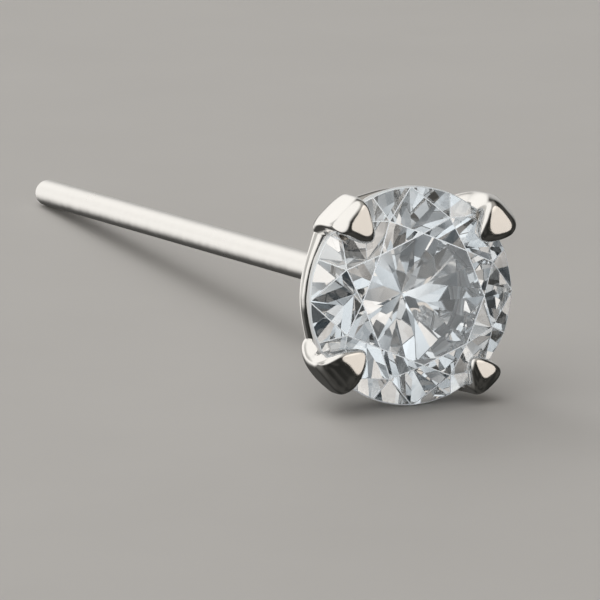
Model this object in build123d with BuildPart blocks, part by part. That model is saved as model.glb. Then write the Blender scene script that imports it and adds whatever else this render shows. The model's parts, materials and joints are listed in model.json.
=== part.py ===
"""A nose stud lying on a flat surface: a round brilliant-cut stone held by the four claws of a
basket head, on a long straight post with a round end.

The stud is modelled upright about its own axis: +Z runs out of the stone's face, the girdle's
middle plane is z = 0 and the post runs down to -Z. At the end both pieces are laid down as the
stud rests by itself, on the lowest point of the girdle and on the end of its post, with +Y along
the post, +Z up and the origin under the middle of the object's box. All sizes are in millimetres.
"""

from build123d import *

import os
from collections import namedtuple
from math import asin, atan2, cos, degrees, radians, sin, tan

# ---------------------------------------------------------------- driving dimensions
stone_diameter = 4.0
table_share = 0.60  # of the stone's diameter, from corner to corner
girdle_share = 0.04  # of the stone's diameter, at the girdle's thickest points
crown_angle = 34.5
pavilion_angle = 40.75
star_share = 0.50  # length of the star facets, from the table's edge to the girdle
lower_half_share = 0.77  # length of the lower halves, from the girdle to the culet
culet_radius = 0.02
stone_turn = -2.0  # the main facets' turn, seen from the front
seat_gap = 0.02  # between the stone and the metal that holds it

post_diameter = 0.53
post_reach = 18.65  # from the girdle's middle plane to the end of the post

claw_count = 4
claw_turn = 38.0  # the claws' turn from level as the stud lies, seen from the front
claw_width = 0.76
claw_outside = 2.23  # radius of the claws' outer faces beside the girdle
claw_reach = 1.54  # radius of the claws' tips over the crown
claw_top = 0.66  # height of the claws' tips above the girdle's middle
claw_rounding = 0.04
leg_width = 0.50
leg_thickness = 0.40
leg_foot = (0.62, -2.50)  # radius and height of a leg's outer corner, inside the base

ring_radius = 1.79  # to the middle of the gallery ring's wire
ring_depth = 0.53  # of the wire's middle below the girdle's
ring_wire = 0.28

base_radius = 0.62
base_depth = 2.18  # of the base's upper face below the girdle's middle
base_thickness = 0.34
solder_radius = 0.38
solder_length = 0.16

# ---------------------------------------------------------------- worked-out sizes
stone_radius = stone_diameter / 2
girdle_top = girdle_share * stone_diameter / 2
table_radius = table_share * stone_radius
table_height = girdle_top + (stone_radius - table_radius) * tan(radians(crown_angle))
main_count = 8
sector = 360 / main_count
post_radius = post_diameter / 2

# ---------------------------------------------------------------- stone
# One kind of facet: how many, the turn of the first from a main facet, and its plane's slope and
# the radius and height of a point of it, measured along the facet's own turn.
Facet = namedtuple("Facet", "count first_turn radius height slope")


def slope_between(outer_radius, outer_height, inner_radius, inner_height):
    """Slope in degrees of the line from an outer point to an inner one."""
    return degrees(atan2(inner_height - outer_height, outer_radius - inner_radius))


def facets_of_side(main_slope, half_tip, flat):
    """The mains and halves of one side, with the halves meeting at radius half_tip, and its flat."""
    main_run = stone_radius - half_tip * cos(radians(sector / 2))
    tip_height = girdle_top + main_run * tan(radians(main_slope))
    chord = stone_radius * cos(radians(sector / 4))
    half_slope = slope_between(chord, girdle_top, half_tip * cos(radians(sector / 4)), tip_height)
    halves = Facet(2 * main_count, sector / 4, chord, girdle_top, half_slope)
    return tip_height, [flat, Facet(main_count, 0, stone_radius, girdle_top, main_slope), halves]


table_edge = table_radius * cos(radians(sector / 2))
star_tip = table_edge + star_share * (stone_radius - table_edge)
star_tip_height, crown = facets_of_side(crown_angle, star_tip, Facet(1, 0, 0, table_height, 0))
star_slope = slope_between(star_tip, star_tip_height, table_edge, table_height)
crown.append(Facet(main_count, sector / 2, table_edge, table_height, star_slope))

culet_depth = girdle_top + (stone_radius - culet_radius) * tan(radians(pavilion_angle))
lower_tip = (1 - lower_half_share) * stone_radius
_, pavilion = facets_of_side(pavilion_angle, lower_tip, Facet(1, 0, 0, culet_depth, 0))


def facet_planes(gap):
    """Each facet's plane, moved out by gap, with its normal outwards."""
    for side, facets in ((1, crown), (-1, pavilion)):
        for facet in facets:
            for number in range(facet.count):
                turn = radians(stone_turn + facet.first_turn + number * 360 / facet.count)
                slope = radians(facet.slope)
                normal = Vector(sin(slope) * cos(turn), sin(slope) * sin(turn), side * cos(slope))
                point = Vector(facet.radius * cos(turn), facet.radius * sin(turn), side * facet.height)
                yield Plane(origin=point + normal * gap, z_dir=normal)


def cut_round(gap):
    """Cuts the brilliant, grown by gap on every side, as the sub-part that is being made."""
    Cylinder(stone_radius + gap, 2 * stone_diameter)
    for plane in facet_planes(gap):
        split(bisect_by=plane, keep=Keep.BOTTOM)


with BuildPart() as stone:
    cut_round(0)

# The room that the setting leaves for the stone.
with BuildPart() as seat:
    cut_round(seat_gap)

# ---------------------------------------------------------------- claw
# Its side outline, as radius and height: up the outside of the leg, past the girdle, over the crown
# to the tip, and back down inside the stone and the leg. What lies in the stone's seat is cut away.
knee = (claw_outside - 0.02, -0.55)
shoulder_height = 0.24
shoulder_slope = 0.22  # how far the shoulder leans in, up to the crown side
tip_bevel = 0.08
tip_underside = 0.30
seat_radius = stone_radius - 0.15
seat_height = 0.10
leg_lean = atan2(knee[0] - leg_foot[0], knee[1] - leg_foot[1])
inward = (-leg_thickness * cos(leg_lean), leg_thickness * sin(leg_lean))
knee_rise = (seat_radius - knee[0] - inward[0]) / tan(leg_lean)
side_outline = [
    (leg_foot[0] + inward[0], leg_foot[1] + inward[1]),
    leg_foot,
    knee,
    (claw_outside, shoulder_height),
    (claw_outside - shoulder_slope, claw_top - tip_bevel / 2),
    (claw_reach + tip_bevel, claw_top),
    (claw_reach, claw_top - tip_bevel),
    (claw_reach, tip_underside),
    (seat_radius, seat_height),
    (seat_radius, knee[1] + inward[1] + knee_rise),
]
# Half its front outline, as distance from its middle and height: a low gable over the shoulders,
# and below the girdle a taper to the leg's own width.
gable_top, gable_height, gable_half = 0.80, 0.68, 0.24
gable_eaves = 0.36
taper_top, taper_foot = -0.15, -0.75
front_outline = [
    (0, gable_top),
    (gable_half, gable_height),
    (claw_width / 2, gable_eaves),
    (claw_width / 2, taper_top),
    (leg_width / 2, taper_foot),
    (leg_width / 2, leg_foot[1]),
    (0, leg_foot[1]),
]
# What the plan loses on each side, as radius and distance from the middle: a wedge that brings the
# claw to its tip, cut above the girdle alone, and the outer corner, where the claw rounds the stone.
wedge_start, wedge_half, wedge_overhang = 2.00, 0.08, 0.10
wedge_outline = [
    (claw_reach - wedge_overhang, wedge_half),
    (wedge_start, claw_width / 2),
    (wedge_start, claw_width),
    (claw_reach - wedge_overhang, claw_width),
]
corner_start, corner_half = 2.08, 0.28
corner_end = claw_outside + 0.02
corner_outline = [(corner_start, claw_width / 2), (corner_end, corner_half), (corner_end, claw_width / 2)]
# The edges of the head that are rounded: all above rounded_height, and the outer ones down to its foot.
rounded_height, rounded_radius, head_foot = 0.30, 1.93, -0.50

with BuildPart() as claw:
    with BuildSketch(Plane.XZ) as side_face:
        with BuildLine():
            Polyline(*side_outline, close=True)
        make_face()
        fillet(side_face.vertices().sort_by_distance((*knee, 0))[0], leg_thickness)
    extrude(amount=claw_width / 2, both=True)
    with BuildSketch(Plane.YZ):
        with BuildLine():
            Polyline(*front_outline, close=True)
        make_face()
        mirror(about=Plane.YZ)
    extrude(amount=claw_outside, mode=Mode.INTERSECT)
    with BuildSketch(Plane.XY):
        with BuildLine():
            Polyline(*wedge_outline, close=True)
        make_face()
        mirror(about=Plane.XZ)
    extrude(amount=stone_radius, mode=Mode.SUBTRACT)
    with BuildSketch(Plane.XY):
        with BuildLine():
            Polyline(*corner_outline, close=True)
        make_face()
        mirror(about=Plane.XZ)
    extrude(amount=stone_radius / 2, both=True, mode=Mode.SUBTRACT)

    head_edges = claw.edges().filter_by(lambda rim: rim.center().Z > head_foot)
    fillet(
        head_edges.filter_by(lambda rim: rim.center().Z > rounded_height or rim.center().X > rounded_radius),
        claw_rounding,
    )

# ---------------------------------------------------------------- setting
with BuildPart() as setting:
    # the base, the cone of solder and the straight post with its round end, turned as one
    with BuildSketch(Plane.XZ):
        with BuildLine():
            base_low = -base_depth - base_thickness
            rim_radius = base_thickness / 2
            upper_face = Line((0, -base_depth), (base_radius - rim_radius, -base_depth))
            round_rim = RadiusArc(upper_face @ 1, (base_radius - rim_radius, base_low), rim_radius)
            lower_face = Line(round_rim @ 1, (solder_radius, base_low))
            solder = Line(lower_face @ 1, (post_radius, base_low - solder_length))
            wire = Line(solder @ 1, (post_radius, post_radius - post_reach))
            round_end = RadiusArc(wire @ 1, (0, -post_reach), post_radius)
            Line(round_end @ 1, upper_face @ 0)
        make_face()
    revolve(axis=Axis.Z)
    # the gallery ring
    with BuildSketch(Plane.XZ):
        with Locations((ring_radius, -ring_depth)):
            Circle(ring_wire / 2)
    revolve(axis=Axis.Z)
    with PolarLocations(0, claw_count, start_angle=claw_turn):
        add(claw.part)
    add(seat.part, mode=Mode.SUBTRACT)

# ---------------------------------------------------------------- laid down to rest
# The axis falls towards the post's end until the girdle and the round end both touch the surface,
# which a few rounds settle, because the girdle's height and the fall depend on each other.
settling_rounds = 20
fall = 0.0
for _ in range(settling_rounds):
    girdle_height = stone_radius * cos(fall) + girdle_top * sin(fall)
    fall = asin((girdle_height - post_radius) / (post_reach - post_radius))
resting = Plane(origin=(0, 0, girdle_height), x_dir=(1, 0, 0), z_dir=(0, -cos(fall), sin(fall)))
box = (setting.part + stone.part).moved(resting.location).bounding_box()
to_origin = Location((-box.center().X, -box.center().Y, -box.min.Z)) * resting.location

os.makedirs("parts", exist_ok=True)

stone.part.move(to_origin)
stone.part.label = "stone"
export_step(stone.part, "parts/stone.step")

setting.part.move(to_origin)
setting.part.label = "setting"
export_step(setting.part, "parts/setting.step")

for piece in (stone.part, setting.part):
    print(piece.label, round(piece.volume, 3), "mm3", piece.bounding_box())
print("fall", round(degrees(fall), 3), "degrees, girdle's middle", round(girdle_height, 4), "mm up")
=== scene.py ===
"""A nose stud: a round brilliant in a four-claw head on a long straight post, lying on a pale floor."""

import json
from collections import namedtuple

import bpy
import numpy as np
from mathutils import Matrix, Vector

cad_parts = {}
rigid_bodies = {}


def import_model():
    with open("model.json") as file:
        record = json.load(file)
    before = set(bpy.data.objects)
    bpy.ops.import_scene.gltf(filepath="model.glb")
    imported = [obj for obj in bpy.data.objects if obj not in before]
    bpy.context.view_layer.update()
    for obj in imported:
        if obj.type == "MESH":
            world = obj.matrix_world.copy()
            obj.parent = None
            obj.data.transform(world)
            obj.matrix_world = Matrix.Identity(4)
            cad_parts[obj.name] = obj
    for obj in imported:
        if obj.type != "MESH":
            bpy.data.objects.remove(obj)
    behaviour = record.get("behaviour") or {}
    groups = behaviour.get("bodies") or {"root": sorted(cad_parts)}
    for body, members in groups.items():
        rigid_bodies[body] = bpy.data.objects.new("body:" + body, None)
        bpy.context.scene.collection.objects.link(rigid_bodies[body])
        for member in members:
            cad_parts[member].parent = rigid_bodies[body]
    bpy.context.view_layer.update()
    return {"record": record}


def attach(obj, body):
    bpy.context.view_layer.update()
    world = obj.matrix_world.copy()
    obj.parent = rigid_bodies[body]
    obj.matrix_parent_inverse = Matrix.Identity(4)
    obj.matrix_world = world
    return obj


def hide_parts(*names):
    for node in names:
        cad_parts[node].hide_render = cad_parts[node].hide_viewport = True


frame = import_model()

# ------------------------------------------------------------------------------------ the stone
# A clear round brilliant, 4 mm across: a flat table, 8 mains, 8 stars and 16 halves on the crown, and
# 8 mains and 16 halves on the pavilion, all ground flat and polished. The girdle between them is left
# finely ground. It is a cut and polished cubic zirconia that the claws press onto its seat.

MM = 0.001  # metres; the sizes below are in mm where nothing else is said
POST_REACH = 18.65  # from the girdle's middle plane to the end of the post
post_mount = next(mount for mount in frame["record"]["mounts"] if mount["name"] == "post")
post_way = Vector(post_mount["axis"]).normalized()
post_radius = post_mount["dims"]["r_mm"]
post_length = post_mount["dims"]["length_mm"]
post_end = Vector(post_mount["pos_m"]) + post_way * (post_length / 2 + post_radius) * MM
girdle_centre = post_end - post_way * POST_REACH * MM
face_way = -post_way
level_way = Vector((1, 0, 0))
rise_way = face_way.cross(level_way)


def laid_down(points):
    """Points in mm about the stud's own axis, with +Z out of its face, as metres on the floor."""
    turned = np.array([level_way, rise_way, face_way])
    return points @ turned * MM + np.array(girdle_centre)


def make_piece(name, points, faces, materials, stands_for, smooth=True):
    """A piece from points in mm about the stud's axis and lists of their numbers for its faces."""
    mesh = bpy.data.meshes.new(name)
    mesh.from_pydata(laid_down(points).tolist(), [], faces)
    mesh.polygons.foreach_set("use_smooth", np.full(len(mesh.polygons), smooth))
    piece = bpy.data.objects.new(name, mesh)
    bpy.context.scene.collection.objects.link(piece)
    for material in materials:
        mesh.materials.append(material)
    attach(piece, "root")
    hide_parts(stands_for)
    return piece


class Amount:
    """One number of a shader, which adds and multiplies as a number does."""

    def __init__(self, finish, socket):
        self.finish, self.socket = finish, socket

    def worked(self, operation, other):
        return self.finish.put("ShaderNodeMath", {"operation": operation}, {0: self, 1: other}).amount()

    def __add__(self, other):
        return self.worked("ADD", other)

    def __mul__(self, other):
        return self.worked("MULTIPLY", other)

    __radd__, __rmul__ = __add__, __mul__


class Added:
    """A node of a finish, whose outputs are asked for by name."""

    def __init__(self, finish, node):
        self.finish, self.node = finish, node

    def amount(self, name=0):
        return Amount(self.finish, self.node.outputs[name])


class Finish:
    """The nodes of a material or a world, on the piece's own coordinates or a world's direction."""

    def __init__(self, holder, place="Object"):
        self.holder = holder
        holder.use_nodes = True
        self.tree = holder.node_tree
        self.tree.nodes.clear()
        self.place = self.put("ShaderNodeTexCoord").amount(place)

    def put(self, kind, settings=None, values=None):
        """Adds a node: its settings first, then for each socket a number, a colour or another's output."""
        node = self.tree.nodes.new(kind)
        for name, setting in (settings or {}).items():
            setattr(node, name, setting)
        for name, value in (values or {}).items():
            if isinstance(value, Amount):
                self.tree.links.new(value.socket, node.inputs[name])
            else:
                node.inputs[name].default_value = value
        return Added(self, node)

    def between(self, share, low, high):
        """A colour between two, by a share from 0 to 1."""
        mixed = self.put("ShaderNodeMix", {"data_type": "RGBA"}, {"Factor": share, 6: low, 7: high})
        return mixed.amount(2)

    def clouds(self, grain, detail, stretch=(1, 1, 1)):
        """Soft noise with patches of grain metres, drawn out along each axis by its stretch."""
        scale = [1 / (grain * factor) for factor in stretch]
        placed = self.put("ShaderNodeMapping", None, {"Vector": self.place, "Scale": scale})
        noise = {"Vector": placed.amount(), "Scale": 1.0, "Detail": detail}
        return self.put("ShaderNodeTexNoise", None, noise).amount("Fac")

    def done(self, surface, output="ShaderNodeOutputMaterial"):
        """Puts the surface on the material or the world and gives that back."""
        self.put(output, None, {"Surface": surface})
        return self.holder


STONE_RADIUS = 1.999  # a hair under the part's 2.0, because its round is cut finer here
TABLE_SHARE = 0.60
GIRDLE_HALF = 0.08  # half the girdle's thickness
CROWN_SLOPE = np.tan(np.radians(34.5))
PAVILION_SLOPE = np.tan(np.radians(40.75))
STAR_SHARE = 0.50  # how far the stars reach from the table towards the girdle
LOWER_SHARE = 0.77  # how far the lower halves reach from the girdle towards the culet
STONE_TURN = np.radians(-2.0)
MAINS = 8
CULET_RADIUS = 0.02
ARC_STEPS = 8  # points of the girdle's round from one half facet's corner to the next
STONE_IOR = 2.25
GRIND_DEPTH = 0.004
RIM_WEAR = 0.035  # how wide the crown's edge at the girdle is dulled
INNER_WEAR = 0.28  # that of the crown's other edges, as a share of it

half_step = np.pi / MAINS
half_middle = half_step / 2
edge_chord = STONE_RADIUS * np.cos(half_middle)
table_radius = TABLE_SHARE * STONE_RADIUS
table_height = GIRDLE_HALF + (STONE_RADIUS - table_radius) * CROWN_SLOPE
table_edge = table_radius * np.cos(half_step)
star_tip = table_edge + STAR_SHARE * (STONE_RADIUS - table_edge)
star_height = GIRDLE_HALF + (STONE_RADIUS - star_tip * np.cos(half_step)) * CROWN_SLOPE
lower_tip = (1 - LOWER_SHARE) * STONE_RADIUS
lower_height = -GIRDLE_HALF - (STONE_RADIUS - lower_tip * np.cos(half_step)) * PAVILION_SLOPE
culet_height = -GIRDLE_HALF - (STONE_RADIUS - CULET_RADIUS) * PAVILION_SLOPE


def turned_points(radius, height, turns):
    """Points at a radius and height, one for each turn."""
    turns = turns + STONE_TURN
    return np.stack(np.broadcast_arrays(radius * np.cos(turns), radius * np.sin(turns), height), axis=-1)


def half_plane_height(tip_radius, tip_height, edge_height, within):
    """Height of a half facet where it meets the girdle's round.

    The facet's plane holds its tip and the two corners at the edge's height, so from the chord between
    the corners it changes by the tip's rise over the tip's distance from the chord.
    """
    rise = (tip_height - edge_height) / (edge_chord - tip_radius * np.cos(half_middle))
    return edge_height + rise * (edge_chord - STONE_RADIUS * np.cos(within - half_middle))


def cut_stone():
    """Points and faces of the brilliant, as rings of points at equal turns.

    The rings are the table's corners, the stars' tips, the girdle's upper and lower edge, the lower
    halves' tips and the culet. A main is a kite over a main turn, and its halves flank it.
    """
    mains = 2 * half_step * np.arange(MAINS)
    girdle_turns = half_step * np.arange(2 * MAINS * ARC_STEPS) / ARC_STEPS
    within = girdle_turns % half_step
    upper = half_plane_height(star_tip, star_height, GIRDLE_HALF, within)
    lower = half_plane_height(lower_tip, lower_height, -GIRDLE_HALF, within)
    rings = [
        turned_points(table_radius, table_height, mains),
        turned_points(star_tip, star_height, mains + half_step),
        turned_points(STONE_RADIUS, upper, girdle_turns),
        turned_points(STONE_RADIUS, lower, girdle_turns),
        turned_points(lower_tip, lower_height, mains + half_step),
        turned_points(CULET_RADIUS, culet_height, mains),
    ]
    starts = np.cumsum([0] + [len(ring) for ring in rings])[:6]
    table, star, high, low, tip, culet = (int(start) for start in starts)
    round_count = len(girdle_turns)
    faces = [[table + k for k in range(MAINS)], [culet + k for k in reversed(range(MAINS))]]
    for k in range(MAINS):
        after, before = (k + 1) % MAINS, (k - 1) % MAINS
        corner = 2 * k * ARC_STEPS
        ahead = (corner + np.arange(ARC_STEPS + 1)) % round_count
        behind = (corner - np.arange(ARC_STEPS + 1)) % round_count
        faces.append([table + k, star + k, table + after])
        faces.append([table + k, star + before, high + corner, star + k])
        faces.append([star + k] + (high + ahead).tolist())
        faces.append([star + before] + (high + behind[::-1]).tolist())
        faces.append([culet + k, tip + k, low + corner, tip + before])
        faces.append([tip + k] + (low + ahead[::-1]).tolist())
        faces.append([tip + before] + (low + behind).tolist())
        faces.append([culet + after, tip + k, culet + k])
    here = np.arange(round_count)
    there = np.roll(here, -1)
    ground = np.stack([high + here, low + here, low + there, high + there], axis=-1).tolist()
    return np.concatenate(rings), faces, ground


def stone_finish():
    """Clear polished stone: a breath of cool tint, with faint wheel lines left by the polish."""
    finish = Finish(bpy.data.materials.new("clear_stone"))
    breath = finish.clouds(0.0011, 2.0)
    lines = finish.clouds(0.00006, 2.0, stretch=(1, 9, 1))
    tint = finish.between(breath, (0.97, 0.985, 1.0, 1), (1.0, 1.0, 1.0, 1))
    surface = finish.put("ShaderNodeBsdfPrincipled", None, {
        "Base Color": tint,
        "Roughness": lines * 0.004,
        "Transmission Weight": 1.0,
        "IOR": STONE_IOR,
    })
    return finish.done(surface.amount())


def girdle_finish():
    """The finely ground edge of the stone: the same stone, white with grinding."""
    finish = Finish(bpy.data.materials.new("ground_girdle"))
    grains = finish.clouds(0.00003, 3.0)
    relief = {"Height": grains, "Distance": GRIND_DEPTH * MM, "Strength": 0.6}
    bump = finish.put("ShaderNodeBump", None, relief)
    surface = finish.put("ShaderNodeBsdfPrincipled", None, {
        "Base Color": finish.between(grains, (0.84, 0.85, 0.86, 1), (0.97, 0.98, 0.99, 1)),
        "Roughness": 0.35 + grains * 0.25,
        "Transmission Weight": 0.1,
        "IOR": STONE_IOR,
        "Normal": bump.amount(),
    })
    return finish.done(surface.amount())


def edge_finish():
    """The crown's edges, dulled by wear over a few hundredths of a millimetre where two facets meet."""
    finish = Finish(bpy.data.materials.new("dulled_edge"))
    wear = finish.clouds(0.0002, 2.0)
    surface = finish.put("ShaderNodeBsdfPrincipled", None, {
        "Base Color": (0.93, 0.97, 1.0, 1),
        "Roughness": 0.25 + wear * 0.25,
        "Transmission Weight": 0.3,
        "IOR": STONE_IOR,
    })
    return finish.done(surface.amount())


stone_points, stone_facets, stone_ground = cut_stone()
stone = make_piece(
    "brilliant_stone", stone_points, stone_facets + stone_ground,
    [stone_finish(), girdle_finish(), edge_finish()], "stone", smooth=False,
)
facet_finish = np.repeat([0, 1], [len(stone_facets), len(stone_ground)])
stone.data.polygons.foreach_set("material_index", facet_finish)
crown_points = 2 * MAINS + 2 * MAINS * ARC_STEPS
edge_ends = np.empty(2 * len(stone.data.edges), int)
stone.data.edges.foreach_get("vertices", edge_ends)
edge_ends = edge_ends.reshape(-1, 2)
on_crown = (edge_ends < crown_points).all(axis=1)
on_rim = on_crown & (edge_ends >= 2 * MAINS).all(axis=1)
wear = stone.data.attributes.new("bevel_weight_edge", "FLOAT", "EDGE")
wear.data.foreach_set("value", np.where(on_rim, 1.0, INNER_WEAR * on_crown))
edges = stone.modifiers.new("worn_crown_edges", "BEVEL")
edges.width = RIM_WEAR * MM
edges.segments = 2
edges.limit_method = "WEIGHT"
edges.material = 2

# ------------------------------------------------------------------------------------ the claws
# Four broad claws of one strip each: a flat leg leans out from the base, passes outside the girdle,
# where a notch is cut for it, and its filed end is pressed down over the crown. Solid silver, polished.

CLAW_STATIONS = 220
CLAW_ROUND = 72
SEAT_GAP = 0.02
SEAT_PASSES = 6
LEAST_SQUARE = 0.25  # a way counts as at least this square to a facet, so that no point moves too far
FLAT_TOP = 0.74
FLAT_ROUND = 0.012
DENT_DEPTH = 0.012


def smooth_rows(rows, stations):
    """A table's rows as one smooth run of stations.

    Each column is a uniform cubic B-spline: a station is the mean of four neighbouring rows, weighted
    by the cubic basis of its place between them. End rows count three times, so the run ends on them.
    """
    rows = np.array(rows, float)
    rows = np.concatenate([rows[:1], rows[:1], rows, rows[-1:], rows[-1:]])
    at = np.linspace(0, len(rows) - 3, stations)
    first = np.minimum(at.astype(int), len(rows) - 4)
    f = (at - first)[:, None]
    weights = (1 - f) ** 3, 3 * f**3 - 6 * f**2 + 4, 3 * f + 3 * f**2 - 3 * f**3 + 1, f**3
    return sum(weight * rows[first + number] for number, weight in enumerate(weights)) / 6


def softened(cosine, squareness):
    """A superellipse's cosine: the cosine's size raised to 2 / squareness, with its sign kept."""
    return np.sign(cosine) * np.abs(cosine) ** (2 / squareness)


def tube_faces(rows, around):
    """Faces of a closed tube of rows of points, with a fan on the point before and the one after."""
    number = 1 + np.arange(rows * around).reshape(rows, around)
    right = np.roll(number, -1, axis=1)
    walls = np.stack([number[:-1], right[:-1], right[1:], number[1:]], axis=-1).reshape(-1, 4)
    start = np.stack([np.zeros(around, int), right[0], number[0]], axis=-1)
    end = np.stack([np.full(around, rows * around + 1), number[-1], right[-1]], axis=-1)
    return start.tolist() + walls.tolist() + end.tolist()


def closed_tube(rings):
    """Points and faces of a tube of rings, closed at each end by a fan on its last ring's middle."""
    middle = rings.mean(axis=1)
    points = np.concatenate([middle[:1], rings.reshape(-1, 3), middle[-1:]])
    return points, tube_faces(*rings.shape[:2])


def stone_planes():
    """Normals and distances of the stone's facets, for the seat that follows them.

    A kind of facet is a turn, a radius and a height that its plane passes through, the plane's slope,
    how many there are round the stone, and 1 above the girdle or -1 below.
    """
    kinds = [
        (0.0, 0.0, table_height, 0.0, 1, 1),
        (0.0, STONE_RADIUS, GIRDLE_HALF, CROWN_SLOPE, MAINS, 1),
        (0.0, STONE_RADIUS, -GIRDLE_HALF, PAVILION_SLOPE, MAINS, -1),
    ]
    for tip_radius, tip_height, side in ((star_tip, star_height, 1), (lower_tip, lower_height, -1)):
        slope = (abs(tip_height) - GIRDLE_HALF) / (edge_chord - tip_radius * np.cos(half_middle))
        kinds.append((half_middle, edge_chord, side * GIRDLE_HALF, slope, 2 * MAINS, side))
    star_slope = (table_height - star_height) / (star_tip - table_edge)
    kinds.append((half_step, table_edge, table_height, star_slope, MAINS, 1))
    normals, distances = [], []
    for first, radius, height, slope, count, side in kinds:
        turns = STONE_TURN + first + 2 * np.pi * np.arange(count) / count
        tilt = np.arctan(slope)
        normal = np.stack([
            np.sin(tilt) * np.cos(turns), np.sin(tilt) * np.sin(turns), np.full(count, side * np.cos(tilt)),
        ], axis=-1)
        point = np.stack([radius * np.cos(turns), radius * np.sin(turns), np.full(count, height)], axis=-1)
        normals.append(normal)
        distances.append((normal * point).sum(axis=-1))
    return np.concatenate(normals), np.concatenate(distances)


facet_normals, facet_distances = stone_planes()


def clear_of_stone(points, ways):
    """Points moved along their ways until they stand the seat's gap off the stone.

    A point's depth in the stone is the largest of its distances past the facets and past the girdle's
    round, and each pass moves it by what it lacks over how squarely its way meets that facet.
    """
    for _ in range(SEAT_PASSES):
        past = points @ facet_normals.T - facet_distances
        furthest = past.max(axis=-1)
        radius = np.hypot(points[..., 0], points[..., 1])
        beside = radius - STONE_RADIUS
        outward = np.stack([points[..., 0] / radius, points[..., 1] / radius, 0 * radius], axis=-1)
        by_round = beside > furthest
        depth = np.where(by_round, beside, furthest)
        normal = np.where(by_round[..., None], outward, facet_normals[past.argmax(axis=-1)])
        square = np.maximum((normal * ways).sum(axis=-1), LEAST_SQUARE)
        lacking = np.maximum(SEAT_GAP - depth, 0) / square
        points = points + ways * lacking[..., None]
    return points


# A claw's turn from level seen from the front, in degrees, how far its tip stands back from the usual,
# its share of the usual width, how square its section and its shoulder are, how much higher its top
# stands, how far its sides run out into the ring, how much its outer face bulges, and the flats filed
# on its top.
Claw = namedtuple("Claw", "name turn back width square shoulder rise flare bulge flats")
CLAWS = (
    Claw("claw_upper_right", 40.5, 0.06, 1.00, 0.55, 0.6, 0.14, 1.0, 0.12, ()),
    Claw("claw_upper_left", 130, 0.03, 0.98, 1.30, 1.2, 0.10, 0.2, 0.0, ((165, 44, 1.80),)),
    Claw("claw_lower_left", 217.5, -0.03, 1.00, 1.00, 0.0, 0.0, 1.4, 0.0, ()),
    Claw("claw_lower_right", 309, 0.06, 0.84, 0.35, 0.3, -0.01, 0.6, 0.0, ()),
)


def claw_rings(claw):
    """Rings of one claw at turn 0, and the way out from its middle at each point.

    A ring is a superellipse, square to the middle's line, which is carried up the leg and over the
    crown. The rows' columns are the middle's radius and height, the width, how far the claw stands
    outside and inside its middle, its squareness, and the share by which its sides follow the ring's
    round: that share of the width is laid off along an arc, and the rest straight across.
    """
    back, width, square, shoulder, rise, flare, bulge = claw[2:-1]
    follow = min(flare, 1)
    rows = [
        (0.34, -2.42, 0.44, 0.19, 0.19, 3.0, 0),
        (0.80, -1.92, 0.44, 0.19, 0.19, 3.0, 0),
        (1.36, -1.28, 0.50, 0.19, 0.19, 3.0, 0),
        (1.80, -0.80, 0.70 + 0.14 * flare, 0.20, 0.20, 2.6, follow),
        (1.97, -0.54, (0.84 + 0.30 * flare) * width, 0.14 + 0.10 * follow, 0.20, 3.0 - 0.8 * follow, follow),
        (2.03, -0.34, (0.84 + 0.18 * flare) * width, 0.17 + 0.04 * follow + bulge / 2, 0.22, 2.8, follow),
        (2.06, -0.12, 0.84 * width, 0.19 + bulge, 0.26, 2 + 3.0 * square, 0.3 * follow),
        (2.07, 0.10, 0.80 * width, 0.19 + bulge, 0.28, 2 + 3.0 * square, 0),
        (2.07, 0.24 + rise / 2, 0.80 * width, 0.19 + bulge, 0.30, 2 + 3.0 * square, 0),
        (2.01 + 0.05 * shoulder, 0.36 + 0.05 * shoulder + rise, 0.79 * width, 0.20 + bulge / 2, 0.30,
         2 + 2.0 * square, 0),
        (1.88 + 0.11 * shoulder + back * 0.3, 0.43 + 0.04 * shoulder + rise, 0.73 * width, 0.20, 0.28,
         2 + 1.4 * square, 0),
        (1.74 + 0.10 * shoulder + back * 0.6, 0.46 + 0.02 * shoulder + rise, 0.60 * width, 0.19, 0.28,
         2 + 1.0 * square, 0),
        (1.61 + back, 0.48 + rise, 0.42 * width, 0.16, 0.24, 2.4, 0),
        (1.50 + back, 0.49 + rise, 0.24 * width, 0.10, 0.22 + rise * 0.6, 2.2, 0),
        (1.46 + back, 0.48 + rise, 0.05, 0.03, 0.08, 2.0, 0),
    ]
    columns = smooth_rows(rows, CLAW_STATIONS).T[..., None]
    radius, height, wide, outside, inside, squareness, round_share = columns
    along = np.concatenate([np.gradient(radius, axis=0), np.gradient(height, axis=0)], axis=-1)
    along /= np.linalg.norm(along, axis=-1, keepdims=True)
    around = 2 * np.pi * np.arange(CLAW_ROUND) / CLAW_ROUND
    across = softened(np.cos(around), squareness) * wide / 2
    depth = softened(np.sin(around), squareness)
    depth *= np.where(depth > 0, outside, inside)
    out_x, out_z = along[:, 1:2], -along[:, :1]
    ring_radius = radius + out_x * depth
    bend = across / ring_radius * round_share
    rings = np.stack([
        ring_radius * np.cos(bend), across * (1 - round_share) + ring_radius * np.sin(bend),
        height + out_z * depth,
    ], axis=-1)
    ways = np.broadcast_to(np.stack([out_x, 0 * out_x, out_z], axis=-1), rings.shape)
    return rings, ways


def turned_about(points, turn):
    """Points or ways turned about the stud's axis."""
    cos, sin = np.cos(turn), np.sin(turn)
    return points @ np.array([[cos, sin, 0], [-sin, cos, 0], [0, 0, 1]])


def filed(points, flats):
    """Points brought down to the flats filed on a claw's top.

    A flat is a way and a slope in degrees and a distance: from there on along its way the metal stands
    at most FLAT_TOP less the fall of the slope, and a hyperbola rounds the edge that this leaves.
    """
    for way, slope, start in flats:
        way, fall = np.radians(way), np.tan(np.radians(slope))
        run = points[..., 0] * np.cos(way) + points[..., 1] * np.sin(way) - start
        over = (points[..., 2] - FLAT_TOP + fall * run) / 2
        points[..., 2] -= over + np.hypot(over, FLAT_ROUND)
    return points


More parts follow.
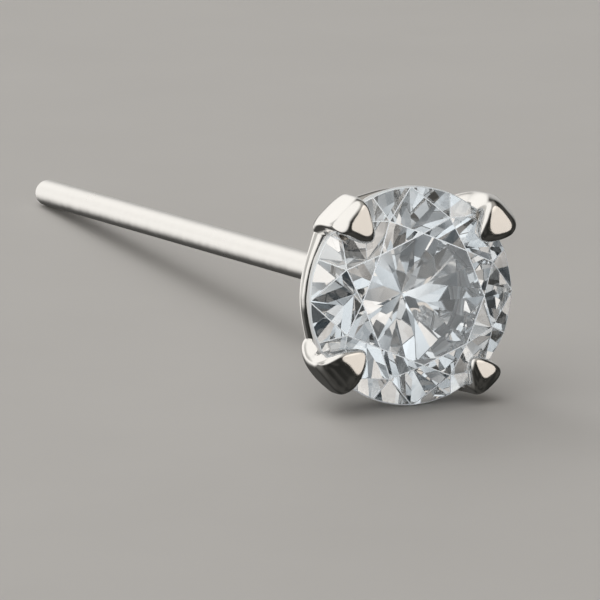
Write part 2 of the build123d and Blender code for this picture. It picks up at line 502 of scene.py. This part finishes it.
def metal_finish(name, roughness):
    """Silver, bright and warm, with the cloudiness, shallow dents and hair lines of polishing by hand."""
    finish = Finish(bpy.data.materials.new(name))
    cloud = finish.clouds(0.0009, 3.0)
    hair = finish.clouds(0.00005, 2.0, stretch=(1, 8, 1))
    dents = finish.clouds(0.0004, 1.0)
    uneven = dents + hair * 0.02
    relief = {"Height": uneven, "Distance": DENT_DEPTH * MM, "Strength": 1.0}
    bump = finish.put("ShaderNodeBump", None, relief)
    surface = finish.put("ShaderNodeBsdfPrincipled", None, {
        "Base Color": finish.between(cloud, (0.92, 0.917, 0.912, 1), (0.965, 0.962, 0.957, 1)),
        "Roughness": roughness + cloud * 0.06 + hair * 0.04,
        "Metallic": 1.0,
        "Normal": bump.amount(),
    })
    return finish.done(surface.amount())


silver = metal_finish("polished_silver", 0.07)
for claw in CLAWS:
    rings, ways = (turned_about(part, np.radians(claw.turn)) for part in claw_rings(claw))
    points, faces = closed_tube(clear_of_stone(filed(rings, claw.flats), ways))
    make_piece(claw.name, points, faces, [silver], "setting")

# ------------------------------------------------------------------------------------ the ring
# A thin round wire bent to a ring and soldered to the claws just behind the girdle. The solder has run
# up each claw, so that the wire swells softly into it.

RING_RADIUS = 1.79
RING_HEIGHT = -0.53
RING_WIRE = 0.14
RING_STATIONS = 360
RING_ROUND = 40
SOLDER_SWELL = 0.12
SOLDER_SPREAD = 0.26  # radians
SOLDER_OUT = 0.3  # how far the swollen wire's middle moves out, as a share of the swell
SOLDER_DOWN = 0.5  # and how far it moves down


def ring_points():
    """The wire's circle carried round the stud's axis, its radius swelling by a bell curve at each claw."""
    turns = 2 * np.pi * np.arange(RING_STATIONS) / RING_STATIONS
    claw_turns = np.radians([claw.turn for claw in CLAWS])
    away = (turns[:, None] - claw_turns + np.pi) % (2 * np.pi) - np.pi
    swell = SOLDER_SWELL * np.exp(-(away / SOLDER_SPREAD) ** 2).sum(axis=1)
    around = 2 * np.pi * np.arange(RING_ROUND) / RING_ROUND
    wire = RING_WIRE + swell[:, None]
    radius = RING_RADIUS + SOLDER_OUT * swell[:, None] + wire * np.cos(around)
    height = RING_HEIGHT - SOLDER_DOWN * swell[:, None] + wire * np.sin(around)
    x, y = radius * np.cos(turns[:, None]), radius * np.sin(turns[:, None])
    return np.stack([x, y, height], axis=-1)


ring = ring_points()
number = np.arange(RING_STATIONS * RING_ROUND).reshape(RING_STATIONS, RING_ROUND)
after = np.roll(number, -1, axis=0)
ring_faces = np.stack([number, after, np.roll(after, -1, axis=1), np.roll(number, -1, axis=1)], axis=-1)
ring_ways = np.zeros_like(ring)
ring_ways[..., 2] = -1
make_piece(
    "gallery_ring", clear_of_stone(ring, ring_ways).reshape(-1, 3),
    ring_faces.reshape(-1, 4).tolist(), [silver], "setting",
)

# ------------------------------------------------------------------------------------ base and post
# The legs stand on a small round base, and the post is a length of 24 gauge wire soldered square under
# it, with a collar of solder at the joint. Its end is rounded so that it passes through the skin.

BASE_TOP = -2.20
BASE_RADIUS = 0.60
BASE_RIM = 0.16
SOLDER_LOW = -2.78
SOLDER_HOLLOW = 2.4  # the power that the solder's radius falls by
WIRE_RADIUS = post_radius - 0.001  # a hair under the part's, because its round is cut finer here
MIDDLE_RADIUS = 0.02
RIM_POINTS = 14
HOLLOW_POINTS = 16
WIRE_POINTS = 90
END_POINTS = 16
LATHE_ROUND = 64


def post_outline():
    """Radius and height of the turned outline, from the base's top to the end of the post.

    The base's rim is a half circle, the solder's radius falls to the wire's by a power of the way down,
    the wire runs in even steps, and its end is a quarter circle.
    """
    rim_middle, rim_radius = BASE_TOP - BASE_RIM, BASE_RADIUS - BASE_RIM
    end_middle = WIRE_RADIUS - POST_REACH
    rim = np.linspace(np.pi / 2, -np.pi / 2, RIM_POINTS)
    base = np.stack([rim_radius + BASE_RIM * np.cos(rim), rim_middle + BASE_RIM * np.sin(rim)])
    fall = np.linspace(0, 1, HOLLOW_POINTS)[1:]
    hollow = np.stack([
        WIRE_RADIUS + (rim_radius - WIRE_RADIUS) * (1 - fall) ** SOLDER_HOLLOW,
        (BASE_TOP - 2 * BASE_RIM) + fall * (SOLDER_LOW - BASE_TOP + 2 * BASE_RIM),
    ])
    wire_heights = np.linspace(SOLDER_LOW, end_middle, WIRE_POINTS)[1:]
    wire = np.stack([np.full(len(wire_heights), WIRE_RADIUS), wire_heights])
    end = np.linspace(0, np.pi / 2, END_POINTS)[1:-1]
    tip = np.stack([WIRE_RADIUS * np.cos(end), end_middle - WIRE_RADIUS * np.sin(end)])
    start = np.array([[MIDDLE_RADIUS], [BASE_TOP]])
    return np.concatenate([start, base, hollow, wire, tip], axis=1).T


outline = post_outline()
around = -2 * np.pi * np.arange(LATHE_ROUND) / LATHE_ROUND
lathe = np.stack([
    outline[:, :1] * np.cos(around), outline[:, :1] * np.sin(around),
    np.repeat(outline[:, 1:], LATHE_ROUND, axis=1),
], axis=-1)
points, faces = closed_tube(lathe)
drawn_silver = metal_finish("drawn_silver", 0.24)
make_piece("base_and_post", points, faces, [drawn_silver], "setting")

# ------------------------------------------------------------------------------------ the studio
# A plain pale paper floor under soft light. Polished metal and stone show little but what is round them,
# so the floor is kept out of both: the metal mirrors a dark room with soft boxes in it, and the stone
# refracts an unseen ball of mottled cloth. The stone, the metal and the floor have lights of their own.

FLOOR_HALF = 1.0  # metres
TENT_RADIUS = 14.0
TENT_ROWS = 24


def stage_piece(name, points, faces, material):
    """A piece of the studio, from points in metres."""
    mesh = bpy.data.meshes.new(name)
    mesh.from_pydata(points.tolist(), [], faces)
    mesh.materials.append(material)
    piece = bpy.data.objects.new(name, mesh)
    bpy.context.scene.collection.objects.link(piece)
    return piece


def paper_finish():
    """Pale paper, faintly uneven in tone."""
    finish = Finish(bpy.data.materials.new("pale_paper"))
    cloud = finish.clouds(0.004, 4.0)
    surface = finish.put("ShaderNodeBsdfPrincipled", None, {
        "Base Color": finish.between(cloud, (0.54, 0.53, 0.52, 1), (0.58, 0.57, 0.56, 1)),
        "Roughness": 0.6,
    })
    return finish.done(surface.amount())


def smooth_share(finish, amount, low, high):
    """A share that rises smoothly from 0 to 1 as an amount goes from low to high."""
    span = {"Value": amount, "From Min": low, "From Max": high}
    return finish.put("ShaderNodeMapRange", {"interpolation_type": "SMOOTHSTEP"}, span).amount()


def tent_finish():
    """A glowing cloth in soft patches, from slate to white and from cool to faintly warm."""
    finish = Finish(bpy.data.materials.new("tent_cloth"))
    share = smooth_share(finish, finish.clouds(0.004, 2.0), 0.38, 0.68)
    warm = smooth_share(finish, finish.clouds(0.006, 1.0), 0.45, 0.62)
    low = finish.between(warm, (0.018, 0.027, 0.034, 1), (0.046, 0.044, 0.040, 1))
    high = finish.between(warm, (1.00, 1.07, 1.11, 1), (1.08, 1.03, 0.97, 1))
    surface = finish.put("ShaderNodeBsdfPrincipled", None, {
        "Base Color": (0.0, 0.0, 0.0, 1),
        "Roughness": 1.0,
        "Specular IOR Level": 0.0,
        "Emission Color": finish.between(share, low, high),
        "Emission Strength": 1.0,
    })
    return finish.done(surface.amount())


floor_corners = np.array([(-1, -1, 0), (1, -1, 0), (1, 1, 0), (-1, 1, 0)]) * FLOOR_HALF
floor = stage_piece("floor", floor_corners, [(0, 1, 2, 3)], paper_finish())
floor.visible_glossy = False
floor.visible_transmission = False
floor.visible_shadow = False

heights = TENT_RADIUS * np.cos(np.pi * (0.5 + np.arange(TENT_ROWS)) / TENT_ROWS)
around = 2 * np.pi * np.arange(2 * TENT_ROWS) / (2 * TENT_ROWS)
widths = np.sqrt(TENT_RADIUS**2 - heights**2)[:, None]
tent_rings = np.stack([
    widths * np.cos(around), widths * np.sin(around), np.repeat(heights[:, None], 2 * TENT_ROWS, axis=1),
], axis=-1)
points, faces = closed_tube(tent_rings)
stone_tent = stage_piece("stone_tent", laid_down(points), faces, tent_finish())
stone_tent.visible_camera = False
stone_tent.visible_diffuse = False
stone_tent.visible_glossy = False
stone_tent.visible_shadow = False

# The camera stands low in front, a little to the left, and looks past the stone along the post.
CAMERA_AZIMUTH = np.radians(-22.87)
CAMERA_ELEVATION = np.radians(13.0)
CAMERA_DISTANCE = 0.13333  # metres
FRAME_SPREAD = 0.040724  # the frame's half width over its distance
AIM_LEFT = 1.987  # how far left of the girdle's centre the camera aims
AIM_BELOW = 0.080


def way_out(azimuth, elevation):
    """The way out from the stone, at degrees round from the camera's side and degrees up from level."""
    azimuth, elevation = CAMERA_AZIMUTH + np.radians(azimuth), np.radians(elevation)
    return Vector((
        np.sin(azimuth) * np.cos(elevation), -np.cos(azimuth) * np.cos(elevation), np.sin(elevation),
    ))


back_way = way_out(0, np.degrees(CAMERA_ELEVATION))
right_way = Vector((np.cos(CAMERA_AZIMUTH), np.sin(CAMERA_AZIMUTH), 0))
up_way = back_way.cross(right_way)
aim = girdle_centre - right_way * AIM_LEFT * MM - up_way * AIM_BELOW * MM
camera_data = bpy.data.cameras.new("camera")
camera_data.sensor_width = 36
camera_data.angle = 2 * np.arctan(FRAME_SPREAD)
camera_data.clip_start = 0.005
camera_data.clip_end = 10
camera = bpy.data.objects.new("camera", camera_data)
bpy.context.scene.collection.objects.link(camera)
camera.location = aim + back_way * CAMERA_DISTANCE
camera.rotation_euler = back_way.to_track_quat("Z", "Y").to_euler()
bpy.context.scene.camera = camera


def lit_group(name, pieces):
    """A group of the pieces that a light reaches."""
    group = bpy.data.collections.new(name)
    for piece in pieces:
        group.objects.link(piece)
    return group


def soft_light(name, azimuth, elevation, distance, size, brightness, colour, lit, mirrored=True):
    """A round soft box that faces the stone and lights one group of pieces alone.

    Its brightness is what its face shows in a mirror. One that isn't mirrored shows only where a piece
    is ground or worn.
    """
    way = way_out(azimuth, elevation)
    data = bpy.data.lights.new(name, "AREA")
    data.shape = "ELLIPSE"
    data.size, data.size_y = size
    data.energy = brightness * np.pi * np.pi / 4 * size[0] * size[1]
    data.color = colour
    light = bpy.data.objects.new(name, data)
    light.location = girdle_centre + way * distance
    light.rotation_euler = way.to_track_quat("Z", "Y").to_euler()
    light.visible_camera = False
    light.visible_glossy = light.visible_transmission = mirrored
    light.light_linking.receiver_collection = lit
    bpy.context.scene.collection.objects.link(light)


def soft_sky():
    """The room as the pieces mirror it: dark, with round soft boxes painted over it one by one.

    A box's share of a direction rises smoothly from nothing to one as the direction's cosine with the
    box's middle goes from that of its outer edge to that of its inner edge.
    """
    sky = Finish(bpy.data.worlds.new("studio"), "Generated")
    unevenness = smooth_share(sky, sky.clouds(0.5, 1.0), 0.35, 0.65)
    tone = sky.between(unevenness, (0.020, 0.020, 0.018, 1), (0.048, 0.046, 0.042, 1))
    boxes = (  # degrees round from the camera and up, degrees from middle to inner and outer edge, colour
        (30, 80, 20, 50, (0.36, 0.34, 0.31, 1)),
        (175, 15, 10, 35, (0.50, 0.49, 0.47, 1)),
        (-105, -20, 8, 38, (0.16, 0.155, 0.145, 1)),
        (-167, -26, 6, 28, (0.060, 0.058, 0.054, 1)),
        (-76, 40, 40, 60, (0.98, 0.95, 0.90, 1)),
        (-142, 8, 20, 38, (1.00, 0.97, 0.92, 1)),
        (-112, 22, 2, 25, (0.52, 0.505, 0.475, 1)),
        (-84, 12, 0, 20, (0.40, 0.39, 0.37, 1)),
    )
    for azimuth, elevation, inner, outer, colour in boxes:
        way = {0: sky.place, 1: tuple(way_out(azimuth, elevation))}
        cosine = sky.put("ShaderNodeVectorMath", {"operation": "DOT_PRODUCT"}, way).amount("Value")
        share = smooth_share(sky, cosine, np.cos(np.radians(outer)), np.cos(np.radians(inner)))
        tone = sky.between(share, tone, colour)
    light = sky.put("ShaderNodeBackground", None, {"Color": tone}).amount()
    return sky.done(light, "ShaderNodeOutputWorld")


bpy.context.scene.world = soft_sky()
metals = (silver, drawn_silver)
metal_pieces = [piece for piece in bpy.context.scene.objects if piece.active_material in metals]
stone_alone = lit_group("lit_stone", [stone])
metal_alone = lit_group("lit_metal", metal_pieces)
floor_alone = lit_group("lit_floor", [floor])

# degrees round from the camera and up, metres from the stone, size, brightness, colour, what it lights
soft_light("beige_card", 62, 18, 0.25, (0.46, 0.46), 0.76, (1.0, 0.91, 0.81), metal_alone)
soft_light("stone_front_left", -48, 34, 0.25, (0.13, 0.17), 0.6, (0.90, 0.96, 1.0), stone_alone)
soft_light("stone_front_high", 18, 42, 0.25, (0.08, 0.13), 0.7, (0.90, 0.96, 1.0), stone_alone)
soft_light("stone_right", 95, 30, 0.25, (0.11, 0.15), 0.5, (0.96, 0.98, 1.0), stone_alone)
soft_light("stone_table", 46, -2, 0.25, (0.11, 0.11), 0.62, (0.93, 0.97, 1.0), stone_alone)
soft_light("stone_edges", 25, 12, 0.25, (0.30, 0.30), 2.4, (0.97, 0.99, 1.0), stone_alone, mirrored=False)
soft_light("floor_back", -150, 40, 0.30, (0.13, 0.13), 2.5, (1.0, 0.99, 0.97), floor_alone)
soft_light("floor_overhead", 0, 80, 0.40, (0.45, 0.45), 0.6, (1.0, 1.0, 1.0), floor_alone)

RAY_BOUNCES = 40  # enough for light to find its way out of the stone
scene = bpy.context.scene
scene.cycles.max_bounces = RAY_BOUNCES
scene.cycles.transmission_bounces = RAY_BOUNCES
scene.cycles.glossy_bounces = RAY_BOUNCES
scene.view_settings.view_transform = "Standard"
